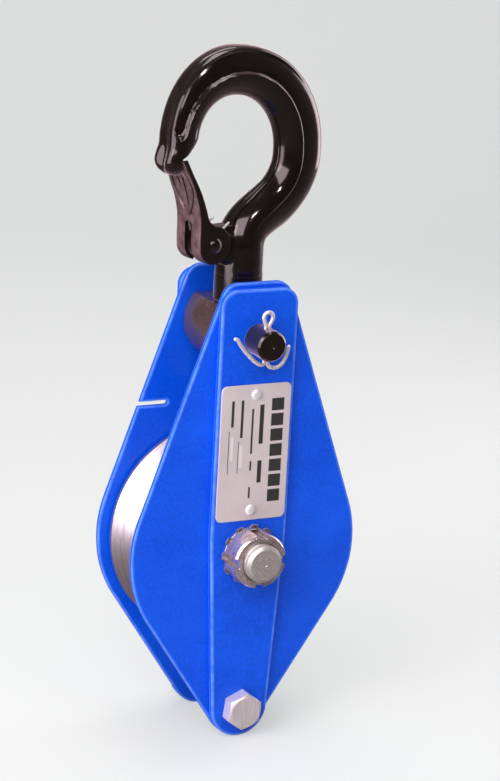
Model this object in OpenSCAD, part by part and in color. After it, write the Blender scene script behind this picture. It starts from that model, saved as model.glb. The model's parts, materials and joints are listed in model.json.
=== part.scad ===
// Single-sheave hook block: two strapped cheek plates carry a grooved sheave on a fixed axle.
// A trunnion yoke tilts between the plates and holds a swivelling forged hook with a spring latch.
// Millimetres. +Z up to the hook, +X to the right, -Y to the front plate, origin at the axle centre.

/* [Cheek plates] */

// Radius of the round part of a cheek plate about the axle
cheek_r = 64; // [62:1:70]
// Angle of the upper cheek edges from vertical
upper_angle = 19.4; // [17:0.2:20]
// Angle of the lower cheek edges from vertical
lower_angle = 33.3; // [32:0.2:35]
// Height of the cheek plates' top edge above the axle
cheek_top = 143.5; // [140:0.5:145]
// Corner radius at the top of the cheek plates
cheek_corner = 9; // [6:0.5:9]
// Thickness of one cheek plate
cheek_t = 3; // [3:0.5:4]
// Gap between the two cheek plates
plate_gap = 42; // [42:0.5:44]
// Length of the relief slit in the rear cheek, in from its left edge
slit_len = 15; // [8:1:20]
// Width of the relief slit
slit_w = 2.5; // [1.5:0.5:4]
// Height of the relief slit above the axle
slit_z = 69.6; // [66:0.2:74]

/* [Straps] */

// Width of the strap above the axle
strap_w = 43; // [40:1:44]
// Thickness of one strap
strap_t = 4; // [3:0.5:5]
// Step from the cheek's top edge down to the strap's top edge
strap_drop = 2.6; // [2:0.2:5]
// Corner radius at the top of a strap
strap_corner = 9; // [6:0.5:10]

/* [Sheave] */

// Outer radius of the sheave
sheave_r = 58.5; // [56:0.5:59]
// Width of the sheave at its rim
sheave_w = 37.8; // [36:0.2:37.8]
// Width of the flat land on each rim edge
rim_land = 2.6; // [2:0.2:4]
// Rope diameter the groove is made for
rope_d = 7; // [6:1:8]
// Radius of the groove bottom from the sheave axis
groove_r = 47; // [46:0.5:49]
// Radius of the sheave hub
hub_r = 20; // [18:0.5:24]
// Thickness of the sheave web
web_t = 12; // [8:1:16]

/* [Axle] */

// Diameter of the axle journal
journal_d = 22; // [20:0.5:24]
// Diameter of the axle's threaded front end
thread_d = 20; // [18:1:20]
// Radial clearance between journal and bush
run_fit = 0.05; // [0.03:0.01:0.1]
// Radial wall of the sheave bush
bush_wall = 3; // [2:0.5:3.5]
// Diameter of the round slotted nut
nut_d = 30; // [29:0.5:31]
// Height of the round slotted nut
nut_h = 15; // [10:0.5:16]
// Thickness of the toothed lock washer
tab_t = 1.5; // [1:0.25:2]
// Number of teeth on the lock washer
tab_count = 11; // [9:2:13]
// Length of axle standing out of the nut
axle_out = 5; // [3:0.5:6]

/* [Top trunnion and yoke] */

// Height of the trunnion axis above the axle
trunnion_z = 114.6; // [113:0.2:116]
// Trunnion diameter
trunnion_d = 16; // [14:1:16]
// Length of trunnion standing out of each strap
trunnion_out = 16; // [12:0.5:18]
// Radius of the yoke's round sides
yoke_r = 21; // [19.5:0.5:22]
// Height of the yoke's top face above the trunnion axis
yoke_up = 14.5; // [13:0.5:15]
// Depth of the yoke's bottom face below the trunnion axis
yoke_down = 17; // [15:0.5:18]
// Wire diameter of the split pins
split_d = 3.6; // [3:0.2:4]

/* [Hook] */

// Swivel angle of the hook about its shank, at rest
hook_swivel = 13; // [-30:1:30]
// Diameter of the shank collar above the yoke
collar_d = 25; // [22:0.5:26]
// Diameter of the shank inside the yoke
shank_d = 20; // [18:1:20]
// Lean of the hook's neck from vertical
neck_lean = 54; // [50:1:56]
// Centre-line radius of the hook's heel, beside the neck
heel_r = 28.5; // [27:0.5:30]
// Centre-line radius of the hook's back
back_r = 41.5; // [40:0.5:43]
// Centre-line radius of the hook's front, towards the tip
front_r = 32; // [31:0.5:33]
// Half thickness of the hook's forging
hook_half_t = 10; // [9:0.5:11]

/* [Latch] */

// Distance of the latch pivot from the shank axis
pivot_x = 24; // [23.5:0.5:25]
// Height of the latch pivot above the axle
pivot_z = 161.5; // [161:0.5:162.5]
// Radius of the latch ears about the pivot
ear_r = 10; // [9:0.5:10]
// Width of the latch channel
latch_w = 20; // [18:0.5:21]
// Sheet thickness of the latch
latch_t = 1.8; // [1.5:0.1:2]
// Diameter of the latch pivot pin
latch_pin_d = 5; // [4:0.5:6]

/* [Bottom bolt] */

// Height of the bolt axis relative to the axle
bolt_z = -87; // [-88:0.5:-86]
// Bolt diameter
bolt_d = 12; // [10:1:12]
// Width across flats of the bolt head and nut
bolt_af = 18; // [16:1:19]
// Height of the bolt head
bolt_head_h = 8; // [6:0.5:8]
// Outer diameter of the spacer tube
spacer_d = 20; // [17:1:24]

/* [Nameplate] */

// Width of the nameplate
name_w = 39.5; // [34:0.5:39.5]
// Height of the nameplate
name_h = 73; // [60:1:76]
// Height of the nameplate's centre above the axle
name_z = 54.5; // [50:0.5:58]
// Thickness of the nameplate
name_t = 0.8; // [0.5:0.1:1]

/* [Output] */

// Node to draw, or all of them

/* [Hidden] */

$fn = 64;
eps = 0.01;
blue = [0.04, 0.27, 0.80];
black = [0.08, 0.06, 0.05];
brown = [0.30, 0.23, 0.24];
zinc = [0.85, 0.80, 0.84];
steel = [0.62, 0.60, 0.60];
bronze = [0.66, 0.49, 0.26];
alu = [0.74, 0.70, 0.72];
inner_y = plate_gap / 2;
cheek_y = inner_y + cheek_t;
strap_y = cheek_y + strap_t;
bottom_r = cheek_r + bolt_z * sin(lower_angle);
corner_z = cheek_top - cheek_corner;
corner_x = (cheek_r - cheek_corner - corner_z * sin(upper_angle)) / cos(upper_angle);
strap_top = cheek_top - strap_drop;
strap_taper_z = 8;
taper = atan((strap_w / 2 - bottom_r) / (strap_taper_z - bolt_z));
hub_half = sheave_w / 2;
washer_t = inner_y - hub_half - 0.1;
bush_r = journal_d / 2 + run_fit;
bush_out = bush_r + bush_wall;
thread_r = thread_d / 2;
nut_y = strap_y + tab_t;
axle_end = nut_y + nut_h + axle_out;
slot_w = 5.2;
slot_depth = 2.6;
tab_r = 16.4;
tab_root = 14;
trunnion_r = trunnion_d / 2;
trunnion_end = strap_y + trunnion_out;
split_y = strap_y + trunnion_out * 0.55;
yoke_half = inner_y - 0.5;
yoke_top = trunnion_z + yoke_up;
yoke_bottom = trunnion_z - yoke_down;
shank_r = shank_d / 2;
collar_r = collar_d / 2;
head_turn = 23;
hook_washer_t = 3;
hook_nut_h = 14.4;
hook_nut_af = 30;
hook_nut_top = yoke_bottom - hook_washer_t - 0.1;
shank_end = hook_nut_top - hook_nut_h - 2.5;
neck_z = 157.4;
neck_bend_r = 17;
latch_play = 0.25;
lug_half = 4.4;
lug_r = ear_r - latch_t - 0.4;

// Puts a flat X-Z outline across the block, from depth y0 to the deeper y1
module across(y0, y1) {
    translate([0, y1, 0]) rotate([90, 0, 0]) linear_extrude(y1 - y0) children();
}

// A round bar along Y from y0 to y1 at height z
module bar(r, y0, y1, z = 0, x = 0) {
    translate([x, y1, z]) rotate([90, 0, 0]) cylinder(r = r, h = y1 - y0);
}

// A cone frustum along Y, radius r0 at y0 and r1 at y1
module bevel(r0, r1, y0, y1, z = 0) {
    translate([0, y1, z]) rotate([90, 0, 0]) cylinder(r1 = r1, r2 = r0, h = y1 - y0);
}

module hex_bar(af, y0, y1, z, turn = 0) {
    translate([0, y1, z]) rotate([90, 0, 0]) rotate([0, 0, turn])
        cylinder(r = af / 2 / cos(30), h = y1 - y0, $fn = 6);
}

// ---- Cheek plates and straps ----

module cheek_outline() {
    circle(r = cheek_r, $fn = 160);
    polygon([
        [cheek_r * cos(upper_angle), cheek_r * sin(upper_angle)],
        [corner_x + cheek_corner * cos(upper_angle), corner_z + cheek_corner * sin(upper_angle)],
        [corner_x, cheek_top],
        [-corner_x, cheek_top],
        [-corner_x - cheek_corner * cos(upper_angle), corner_z + cheek_corner * sin(upper_angle)],
        [-cheek_r * cos(upper_angle), cheek_r * sin(upper_angle)]
    ]);
    for (s = [-1, 1])
        translate([s * corner_x, corner_z]) circle(r = cheek_corner);
    polygon([
        [-cheek_r * cos(lower_angle), -cheek_r * sin(lower_angle)],
        [-bottom_r * cos(lower_angle), bolt_z - bottom_r * sin(lower_angle)],
        [bottom_r * cos(lower_angle), bolt_z - bottom_r * sin(lower_angle)],
        [cheek_r * cos(lower_angle), -cheek_r * sin(lower_angle)]
    ]);
    translate([0, bolt_z]) circle(r = bottom_r);
}

module strap_outline() {
    half = strap_w / 2;
    r = bottom_r - 0.2;
    translate([-half, strap_taper_z]) square([strap_w, strap_top - strap_corner - strap_taper_z]);
    translate([-half + strap_corner, strap_top - strap_corner - eps])
        square([strap_w - 2 * strap_corner, strap_corner + eps]);
    for (s = [-1, 1])
        translate([s * (half - strap_corner), strap_top - strap_corner]) circle(r = strap_corner);
    polygon([
        [-half, strap_taper_z + eps],
        [-r * cos(taper), bolt_z - r * sin(taper)],
        [r * cos(taper), bolt_z - r * sin(taper)],
        [half, strap_taper_z + eps]
    ]);
    translate([0, bolt_z]) circle(r = r);
}

module plate_holes(axle_r) {
    circle(r = axle_r);
    translate([0, bolt_z]) circle(r = bolt_d / 2 + 0.25);
    translate([0, trunnion_z]) circle(r = trunnion_r + run_fit);
}

module front_cheek() {
    color(blue) across(-cheek_y, -inner_y) difference() {
        cheek_outline();
        plate_holes(thread_r + 0.05);
    }
}

module front_strap() {
    color(blue) difference() {
        across(-strap_y, -cheek_y) difference() {
            strap_outline();
            plate_holes(thread_r + 0.05);
        }
        for (z = rivet_heights())
            bar(rivet_r, -strap_y - eps, -cheek_y + eps, z);
    }
}

module rear_cheek() {
    edge_x = (cheek_r - slit_z * sin(upper_angle)) / cos(upper_angle);
    slit_in = edge_x - slit_len;
    color(blue) difference() {
        across(inner_y, cheek_y) difference() {
            cheek_outline();
            plate_holes(journal_d / 2 + 0.05);
            translate([-edge_x - slit_w, slit_z - slit_w / 2]) square([slit_len + slit_w, slit_w]);
            translate([-slit_in, slit_z]) circle(r = slit_w / 2);
        }
        translate([-slit_in, inner_y - eps, slit_z - 0.5]) cube([slit_in, 0.4, 1]);
    }
}

module rear_strap() {
    color(blue) across(cheek_y, strap_y) difference() {
        strap_outline();
        plate_holes(journal_d / 2 + 0.05);
    }
}

// ---- Sheave and axle ----

module sheave_section() {
    rope_r = rope_d / 2 + 0.3;
    mouth = hub_half - rim_land;
    difference() {
        union() {
            translate([bush_out, -hub_half]) square([hub_r - bush_out, sheave_w]);
            translate([hub_r - eps, -web_t / 2]) square([groove_r - hub_r, web_t]);
            polygon([
                [groove_r - 5, -web_t / 2],
                [groove_r, -hub_half],
                [sheave_r, -hub_half],
                [sheave_r, hub_half],
                [groove_r, hub_half],
                [groove_r - 5, web_t / 2]
            ]);
        }
        translate([groove_r + rope_r, 0]) circle(r = rope_r);
        polygon([
            [groove_r + rope_r * 0.45, -rope_r * 0.84],
            [sheave_r + eps, -mouth],
            [sheave_r + eps, mouth],
            [groove_r + rope_r * 0.45, rope_r * 0.84]
        ]);
    }
}

module sheave() {
    color(zinc) rotate([90, 0, 0]) rotate_extrude($fn = 160) sheave_section();
}

module sheave_bush() {
    color(bronze) difference() {
        bar(bush_out, -hub_half, hub_half);
        bar(bush_r, -hub_half - eps, hub_half + eps);
    }
}

module sheave_thrust_washers() {
    color(bronze) for (s = [-1, 1])
        translate([0, s * (inner_y - washer_t / 2), 0]) difference() {
            bar(hub_r - 1, -washer_t / 2, washer_t / 2);
            bar(journal_d / 2 + 0.1, -washer_t, washer_t);
        }
}

module axle() {
    chamfer = 2.8;
    color(steel) {
        bar(journal_d / 2, -inner_y, strap_y);
        bar(thread_r, -axle_end + chamfer, -inner_y + eps);
        bevel(thread_r - chamfer, thread_r, -axle_end, -axle_end + chamfer);
        bar(journal_d / 2 + 5, strap_y, strap_y + 5);
        bevel(journal_d / 2 + 5, journal_d / 2 + 4, strap_y + 5, strap_y + 6);
    }
}

module tab_washer() {
    color(zinc) {
        across(-nut_y, -strap_y) difference() {
            union() {
                circle(r = tab_root);
                for (i = [0 : tab_count - 1])
                    rotate((i + 0.5) * 360 / tab_count) translate([0, -2.1]) square([tab_r, 4.2]);
            }
            circle(r = thread_r + 0.1);
        }
        translate([-slot_w / 2 + 0.4, -nut_y - 4, nut_d / 2 - slot_depth + 0.2])
            cube([slot_w - 0.8, 4 + tab_t / 2, 1.6]);
    }
}

module axle_nut() {
    r = nut_d / 2;
    chamfer = 1.2;
    color(steel) difference() {
        union() {
            bar(r, -nut_y - nut_h + chamfer, -nut_y);
            bevel(r - chamfer, r, -nut_y - nut_h, -nut_y - nut_h + chamfer);
        }
        bar(thread_r, -nut_y - nut_h - eps, -nut_y + eps);
        for (a = [0, 90, 180, 270])
            rotate([0, a, 0]) translate([-slot_w / 2, -nut_y - nut_h - eps, r - slot_depth])
                cube([slot_w, nut_h + 2 * eps, slot_depth + eps]);
    }
}

// ---- Yoke ----

module yoke() {
    edge = 1.5;
    color(black) difference() {
        union() {
            intersection() {
                union() {
                    bar(yoke_r, -yoke_half + edge, yoke_half - edge, trunnion_z);
                    bevel(yoke_r - edge, yoke_r, -yoke_half, -yoke_half + edge, trunnion_z);
                    bevel(yoke_r, yoke_r - edge, yoke_half - edge, yoke_half, trunnion_z);
                }
                translate([-yoke_r, -yoke_half, yoke_bottom])
                    cube([2 * yoke_r, 2 * yoke_half, yoke_up + yoke_down]);
            }
            bar(trunnion_r, -trunnion_end + 1, trunnion_end - 1, trunnion_z);
            bevel(trunnion_r - 1, trunnion_r, -trunnion_end, -trunnion_end + 1, trunnion_z);
            bevel(trunnion_r, trunnion_r - 1, trunnion_end - 1, trunnion_end, trunnion_z);
        }
        translate([0, 0, yoke_bottom - 1]) cylinder(r = shank_r + run_fit, h = 40);
        for (s = [-1, 1])
            translate([0, s * split_y, trunnion_z - 10]) cylinder(d = split_d, h = 20);
    }
}

// One split pin: an eye above the trunnion and two legs bent up round it
module split_pin() {
    leg_r = split_d * 0.36;
    eye_r = 3.4;
    bend_r = trunnion_r + 3.2;
    translate([0, 0, -bend_r]) cylinder(d = split_d, h = 2 * bend_r - 1.5);
    translate([0, 0, bend_r + eye_r - 2.6]) rotate([90, 0, 0])
        rotate_extrude() translate([eye_r, 0]) circle(r = leg_r);
    rotate([90, 0, 0]) rotate([0, 0, 192]) rotate_extrude(angle = 156)
        translate([bend_r, 0]) circle(r = leg_r);
}

module trunnion_split_pins() {
    color(zinc) for (s = [-1, 1])
        translate([0, s * split_y, trunnion_z]) split_pin();
}

// ---- Hook ----

// Hook path: straight runs and bends as [length, turn to the left], from the collar to the tip
hook_base = 131;
path = [
    [neck_z - hook_base, 0],
    [neck_bend_r * neck_lean * PI / 180, -neck_lean],
    [15.7, 0],
    [heel_r * neck_lean * PI / 180, neck_lean],
    [2.4, 0],
    [back_r * PI / 2, 90],
    [front_r * 84.5 * PI / 180, 84.5],
    [10, -20],
    [11, 0]
];
// Half widths at the ends of those runs, on the inner and the outer side
inner_w = [12.3, 12.3, 11.7, 11.3, 11.0, 10.8, 11.2, 9.4, 4.6, 7.5];
outer_w = [12.3, 12.3, 12.9, 14.6, 17.0, 16.6, 14.2, 9.6, 8.5, 7.6];
depth_w = [12.3, 12.3, 11.2, 10.6, hook_half_t, hook_half_t, hook_half_t, 9.6, 9.4, 8.6];
bend_steps = 12;
ring_n = 24;

function bend_at(k, t) = path[k][1] * t;
function chord(k, t) = path[k][1] == 0 ? path[k][0] * t
    : 2 * path[k][0] / (abs(path[k][1]) * PI / 180) * sin(abs(path[k][1] * t) / 2);
// Place at fraction t of run k, from the run's start [x, z, heading]
function step_from(p, k, t) = [
    p[0] + chord(k, t) * cos(p[2] + bend_at(k, t) / 2),
    p[1] + chord(k, t) * sin(p[2] + bend_at(k, t) / 2),
    p[2] + bend_at(k, t)
];
function run_start(k) = k == 0 ? [0, hook_base, 90] : step_from(run_start(k - 1), k - 1, 1);
starts = [for (k = [0 : len(path) - 1]) run_start(k)];
function ease(t) = t * t * (3 - 2 * t);
function blend_w(w, k, t) = w[k] + (w[k + 1] - w[k]) * ease(t);
// Rounded-box section: c and s pushed outwards from a plain ellipse
function full(v) = sign(v) * pow(abs(v), 0.8);
function ring(k, t, shrink) = [
    for (i = [0 : ring_n - 1])
        let (
            p = step_from(starts[k], k, t),
            a = 360 * (i + 0.5) / ring_n,
            side = full(cos(a)) * shrink,
            w = side > 0 ? blend_w(inner_w, k, t) : blend_w(outer_w, k, t)
        )
        [
            p[0] - w * side * sin(p[2]),
            blend_w(depth_w, k, t) * full(sin(a)) * shrink,
            p[1] + w * side * cos(p[2])
        ]
];
last = len(path) - 1;
rings = concat(
    [for (k = [0 : last], i = [0 : bend_steps - 1]) ring(k, i / bend_steps, 1)],
    [ring(last, 1, 1)]
);

// Closed skin over a list of equal rings, with a flat cap at each end
module skin(rings) {
    n = len(rings[0]);
    m = len(rings);
    points = [for (r = rings, p = r) p];
    sides = [
        for (j = [0 : m - 2], i = [0 : n - 1], h = [0, 1])
            let (
                a = j * n + i,
                b = j * n + (i + 1) % n,
                c = (j + 1) * n + (i + 1) % n,
                d = (j + 1) * n + i
            )
            h == 0 ? [a, b, c] : [a, c, d]
    ];
    caps = [
        [for (i = [n - 1 : -1 : 0]) i],
        [for (i = [0 : n - 1]) (m - 1) * n + i]
    ];
    polyhedron(points, concat(sides, caps));
}

module hook_swing() {
    rotate([0, 0, hook_swivel]) children();
}

// Tip point of the path, and the inner corner of the notch that takes the latch end
tip = step_from(starts[last], last, 1);
lobe_groove = 9.4;
seat_x = -47.35;
seat_z = 206.9;

module latch_lug() {
    difference() {
        union() {
            across(-lug_half, lug_half) {
                translate([-pivot_x, pivot_z]) circle(r = lug_r);
                translate([-pivot_x, pivot_z - lug_r]) square([pivot_x, 2 * lug_r]);
            }
            bar(8.1, -7.8, 7.8, pivot_z - 4.2, 11.8 - pivot_x);
        }
        bar(latch_pin_d / 2, -lug_half - 5, lug_half + 5, pivot_z, -pivot_x);
    }
}

module hook() {
    color(black) hook_swing() {
        difference() {
            union() {
                skin(rings);
                latch_lug();
            }
            across(-20, 20) translate([seat_x, seat_z])
                polygon([[0, 0], [24, 11.7], [24, -18], [10.08, -18]]);
            translate([tip[0] + lobe_groove * sin(tip[2]), 0, tip[1] - lobe_groove * cos(tip[2])])
                rotate([0, 270 - tip[2], 0]) translate([0, 0, -4]) cylinder(r = 2.4, h = 16);
        }
        difference() {
            union() {
                translate([0, 0, yoke_top + 0.2]) cylinder(r = collar_r, h = 14);
                translate([0, 0, shank_end]) cylinder(r = shank_r, h = 60);
            }
            translate([-20, 0, pin_level()]) rotate([0, 90, 0]) cylinder(r = 2, h = 40);
        }
    }
}

function pin_level() = hook_nut_top - hook_nut_h + 4.5;

module hook_thrust_washer() {
    color(steel) translate([0, 0, yoke_bottom - hook_washer_t]) difference() {
        cylinder(r = 17, h = hook_washer_t);
        translate([0, 0, -1]) cylinder(r = shank_r + 0.1, h = hook_washer_t + 2);
    }
}

module hook_nut() {
    color(steel) hook_swing() translate([0, 0, hook_nut_top - hook_nut_h]) difference() {
        cylinder(r = hook_nut_af / 2 / cos(30), h = hook_nut_h, $fn = 6);
        translate([0, 0, -1]) cylinder(r = shank_r, h = hook_nut_h + 2);
        translate([-25, 0, 4.5]) rotate([0, 90, 0]) cylinder(r = 2, h = 50);
    }
}

module hook_nut_pin() {
    color(zinc) hook_swing() translate([-16, 0, pin_level()]) rotate([0, 90, 0])
        cylinder(r = 2, h = 32);
}

// ---- Latch ----

// Outer line of the latch and inner line of its flanges, measured from the pivot
latch_front = [[-ear_r, 3], [-ear_r - 0.2, 13.5], [-ear_r - 2.2, 22.5], [-16.3, 33], [-22.9, 44.8]];
latch_rear = [[-19.4, 45.1], [-15.5, 38], [-10, 28.5], [-6, 19.1], [-3.8, 13.2], [0.5, ear_r - 0.1]];

// Side outline of one latch flange: a narrow cheek that widens into a round ear
module latch_flange() {
    translate([-pivot_x, pivot_z]) difference() {
        union() {
            circle(r = ear_r);
            polygon(concat(latch_front, latch_rear, [[0, 0]]));
        }
        circle(r = latch_pin_d / 2 + run_fit);
    }
}

// The web joins the two flanges along their outer line and curls round under the ears
module latch_web() {
    wall = latch_t * 1.08;
    count = len(latch_front);
    translate([-pivot_x, pivot_z]) {
        polygon(concat(
            latch_front,
            [for (i = [count - 1 : -1 : 0]) latch_front[i] + [wall, 0]]
        ));
        intersection() {
            difference() {
                circle(r = ear_r);
                circle(r = ear_r - latch_t);
            }
            translate([-ear_r - 1, -ear_r - 1]) square([ear_r - 3.2, ear_r + 5]);
        }
    }
}

module latch() {
    half = latch_w / 2;
    color(brown) hook_swing() difference() {
        union() {
            across(-half, -half + latch_t) latch_flange();
            across(half - latch_t, half) latch_flange();
            across(-half, half) latch_web();
        }
        translate([-pivot_x - ear_r - 6, -2.8, pivot_z - 12]) cube([14, 5.6, 24]);
    }
}

module latch_pin() {
    half = latch_w / 2;
    color(steel) hook_swing() translate([-pivot_x, 0, pivot_z]) {
        bar(latch_pin_d / 2, -half - latch_play, half + latch_play);
        for (s = [-1, 1])
            translate([0, s * (half + latch_play), 0]) intersection() {
                translate([0, -s * 3.2, 0]) sphere(r = 5);
                translate([-5, s > 0 ? 0 : -5, -5]) cube([10, 5, 10]);
            }
    }
}

module latch_spring() {
    wire = 0.7;
    coil_r = latch_pin_d / 2 + wire + 0.25;
    turn = 1.5;
    color(steel) hook_swing() translate([-pivot_x, 0, pivot_z])
        for (s = [-1, 1]) translate([0, s * (lug_half + 0.1 + wire), 0])
            for (i = [0 : 1]) translate([0, s * i * turn * 0.9, 0]) rotate([90, 0, 0])
                rotate_extrude() translate([coil_r, 0]) circle(r = wire);
}

// ---- Bottom bolt ----

module bottom_bolt() {
    head = bolt_head_h;
    end = strap_y + 2.5 + 10.8 + 2.7;
    color(zinc) {
        intersection() {
            hex_bar(bolt_af, -strap_y - head, -strap_y, bolt_z, head_turn);
            bevel(bolt_af / 2 - 0.4, bolt_af / 2 + 6, -strap_y - head, -strap_y - head + 3.6, bolt_z);
        }
        hex_bar(bolt_af, -strap_y - head + 3.5, -strap_y, bolt_z, head_turn);
        bar(bolt_d / 2, -strap_y - eps, end - 1, bolt_z);
        bevel(bolt_d / 2, bolt_d / 2 - 1, end - 1, end, bolt_z);
    }
}

module bottom_spacer() {
    color(steel) difference() {
        bar(spacer_d / 2, -inner_y, inner_y, bolt_z);
        bar(bolt_d / 2 + 0.25, -inner_y - eps, inner_y + eps, bolt_z);
    }
}

module bottom_washer() {
    color(zinc) difference() {
        bar(12, strap_y, strap_y + 2.5, bolt_z);
        bar(bolt_d / 2 + 0.4, strap_y - eps, strap_y + 3, bolt_z);
    }
}

module bottom_nut() {
    y = strap_y + 2.5;
    color(zinc) difference() {
        hex_bar(bolt_af, y, y + 10.8, bolt_z);
        bar(bolt_d / 2, y - 1, y + 12, bolt_z);
    }
}

// ---- Nameplate ----

rivet_r = 1.6;
rivet_head_r = 3;
function rivet_heights() = [name_z + name_h / 2 - 5.5, name_z - name_h / 2 + 5.5];

module nameplate() {
    corner = 3;
    color(alu) difference() {
        across(-strap_y - name_t, -strap_y) {
            translate([-name_w / 2 + corner, name_z - name_h / 2])
                square([name_w - 2 * corner, name_h]);
            translate([-name_w / 2, name_z - name_h / 2 + corner])
                square([name_w, name_h - 2 * corner]);
            for (sx = [-1, 1], sz = [-1, 1])
                translate([sx * (name_w / 2 - corner), name_z + sz * (name_h / 2 - corner)])
                    circle(r = corner);
        }
        for (z = rivet_heights())
            bar(rivet_r, -strap_y - 2, -strap_y + 1, z);
    }
}

module nameplate_rivets() {
    dome = 1.4;
    ball = (rivet_head_r * rivet_head_r + dome * dome) / (2 * dome);
    face = -strap_y - name_t;
    color(zinc) for (z = rivet_heights()) {
        bar(rivet_r, face - eps, -cheek_y, z);
        intersection() {
            translate([0, face + ball - dome, z]) sphere(r = ball);
            bar(rivet_head_r, face - dome, face, z);
        }
    }
}

front_cheek();
front_strap();
rear_cheek();
rear_strap();
sheave();
sheave_bush();
sheave_thrust_washers();
axle();
tab_washer();
axle_nut();
yoke();
trunnion_split_pins();
hook();
hook_thrust_washer();
hook_nut();
hook_nut_pin();
latch();
latch_pin();
latch_spring();
bottom_bolt();
bottom_spacer();
bottom_washer();
bottom_nut();
nameplate();
nameplate_rivets();
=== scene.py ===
"""Looks of a single-sheave hook block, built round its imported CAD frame."""

import bmesh
import bpy
import json
import math
import numpy as np
from mathutils import Matrix, Vector
from mathutils.geometry import tessellate_polygon

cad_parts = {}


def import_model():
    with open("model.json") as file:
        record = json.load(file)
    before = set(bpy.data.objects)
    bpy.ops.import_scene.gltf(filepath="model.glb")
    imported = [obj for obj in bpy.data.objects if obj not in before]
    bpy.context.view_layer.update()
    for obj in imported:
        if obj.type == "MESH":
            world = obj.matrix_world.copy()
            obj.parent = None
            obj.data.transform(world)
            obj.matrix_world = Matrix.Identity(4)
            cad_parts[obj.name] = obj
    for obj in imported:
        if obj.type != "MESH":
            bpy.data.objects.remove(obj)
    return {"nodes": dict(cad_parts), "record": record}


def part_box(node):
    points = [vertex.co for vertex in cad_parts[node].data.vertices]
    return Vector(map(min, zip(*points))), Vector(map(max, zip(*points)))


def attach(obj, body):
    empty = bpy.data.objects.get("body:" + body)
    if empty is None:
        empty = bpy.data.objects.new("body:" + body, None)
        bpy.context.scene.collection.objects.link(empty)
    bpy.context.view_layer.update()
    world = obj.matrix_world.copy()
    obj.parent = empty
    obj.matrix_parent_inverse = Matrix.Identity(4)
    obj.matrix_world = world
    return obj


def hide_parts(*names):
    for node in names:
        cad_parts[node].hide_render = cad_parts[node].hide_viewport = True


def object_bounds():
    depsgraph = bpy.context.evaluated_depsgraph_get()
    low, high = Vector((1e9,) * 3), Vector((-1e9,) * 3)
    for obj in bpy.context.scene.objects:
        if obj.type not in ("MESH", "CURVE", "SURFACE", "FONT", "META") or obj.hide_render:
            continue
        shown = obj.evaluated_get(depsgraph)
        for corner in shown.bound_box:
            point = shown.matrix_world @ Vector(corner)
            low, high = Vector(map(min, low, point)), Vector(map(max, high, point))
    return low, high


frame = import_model()
CAD_LO, CAD_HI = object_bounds()
MM = 0.001


def box(node):
    """Lowest and highest corner of a CAD node, in millimetres."""
    lo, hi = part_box(node)
    return np.array(lo) / MM, np.array(hi) / MM


# ---------------------------------------------------------------- dimensions
CHEEK_F = box("front_cheek")
STRAP_F, STRAP_B = box("front_strap"), box("rear_strap")
R = CHEEK_F[1][0]
TOP = CHEEK_F[1][2]
# lean of the cheek's flanks above and below its round belly
UP, DOWN = math.radians(19.4), math.radians(33.3)
JOINTS = {j["name"]: j for j in frame["record"]["behaviour"]["joints"]}
TRUNNION_Z = JOINTS["block_tilt"]["pos_m"][2] / MM
# the latch pin in the hook's own plane, and how far that plane stands turned about the shank
PIVOT = np.array(JOINTS["latch_open"]["pos_m"]) / MM
SWING = math.atan2(-JOINTS["latch_open"]["axis"][0], JOINTS["latch_open"]["axis"][1])
PIVOT_X = -math.hypot(PIVOT[0], PIVOT[1])
PIVOT_Z = PIVOT[2]
BOLT_Z = float(box("bottom_spacer")[0][2] + box("bottom_spacer")[1][2]) / 2
BOTTOM_R = BOLT_Z - CHEEK_F[0][2]
STRAP_TOP = STRAP_F[1][2]
STRAP_HALF = STRAP_F[1][0]


# ---------------------------------------------------------------- mesh tools
def piece(name, verts, faces, mat, body, nodes=(), slot=None, sharp=32, edge=None):
    """A closed mesh from millimetre points, riding on a body and standing for CAD nodes."""
    me = bpy.data.meshes.new(name)
    me.from_pydata([tuple(v) for v in np.asarray(verts, float) * MM], [], faces)
    if edge is not None:
        me.attributes.new("edge", "FLOAT", "POINT").data.foreach_set("value", np.asarray(edge, float))
    bm = bmesh.new()
    bm.from_mesh(me)
    bmesh.ops.remove_doubles(bm, verts=bm.verts, dist=2e-7)
    bmesh.ops.dissolve_degenerate(bm, edges=bm.edges, dist=1e-7)
    bmesh.ops.recalc_face_normals(bm, faces=bm.faces)
    bm.to_mesh(me)
    bm.free()
    me.shade_smooth()
    me.set_sharp_from_angle(angle=math.radians(sharp))
    ob = bpy.data.objects.new(name, me)
    bpy.context.scene.collection.objects.link(ob)
    me.materials.append(mat)
    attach(ob, body)
    if nodes:
        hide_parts(*nodes)
    return ob


def arc(cx, cy, r, a0, a1, step=2.5):
    """Points on a circle from angle a0 to a1, in degrees."""
    n = max(2, int(abs(a1 - a0) / step) + 1)
    t = np.radians(np.linspace(a0, a1, n))
    return [(cx + r * math.cos(a), cy + r * math.sin(a)) for a in t]


def clean(loop):
    """Drops repeated points from a closed loop."""
    out = []
    for p in loop:
        if not out or math.dist(p, out[-1]) > 1e-4:
            out.append((float(p[0]), float(p[1])))
    if math.dist(out[0], out[-1]) < 1e-4:
        out.pop()
    return np.array(out)


def turned(loop, ccw):
    """The loop, reversed if it doesn't run the wanted way round."""
    a = np.asarray(loop)
    x, y = a[:, 0], a[:, 1]
    area = np.sum(x * np.roll(y, -1) - np.roll(x, -1) * y)
    return a if (area > 0) == ccw else a[::-1]


def inset(loop, d):
    """Moves a closed loop to its left by d, with mitred corners."""
    a = np.asarray(loop, float)
    e = np.roll(a, -1, 0) - a
    e /= np.linalg.norm(e, axis=1)[:, None]
    n = np.stack([-e[:, 1], e[:, 0]], 1)
    m = n + np.roll(n, 1, 0)
    m /= np.maximum(np.sum(m * n, 1), 0.4)[:, None]
    return a + m * d


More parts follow.
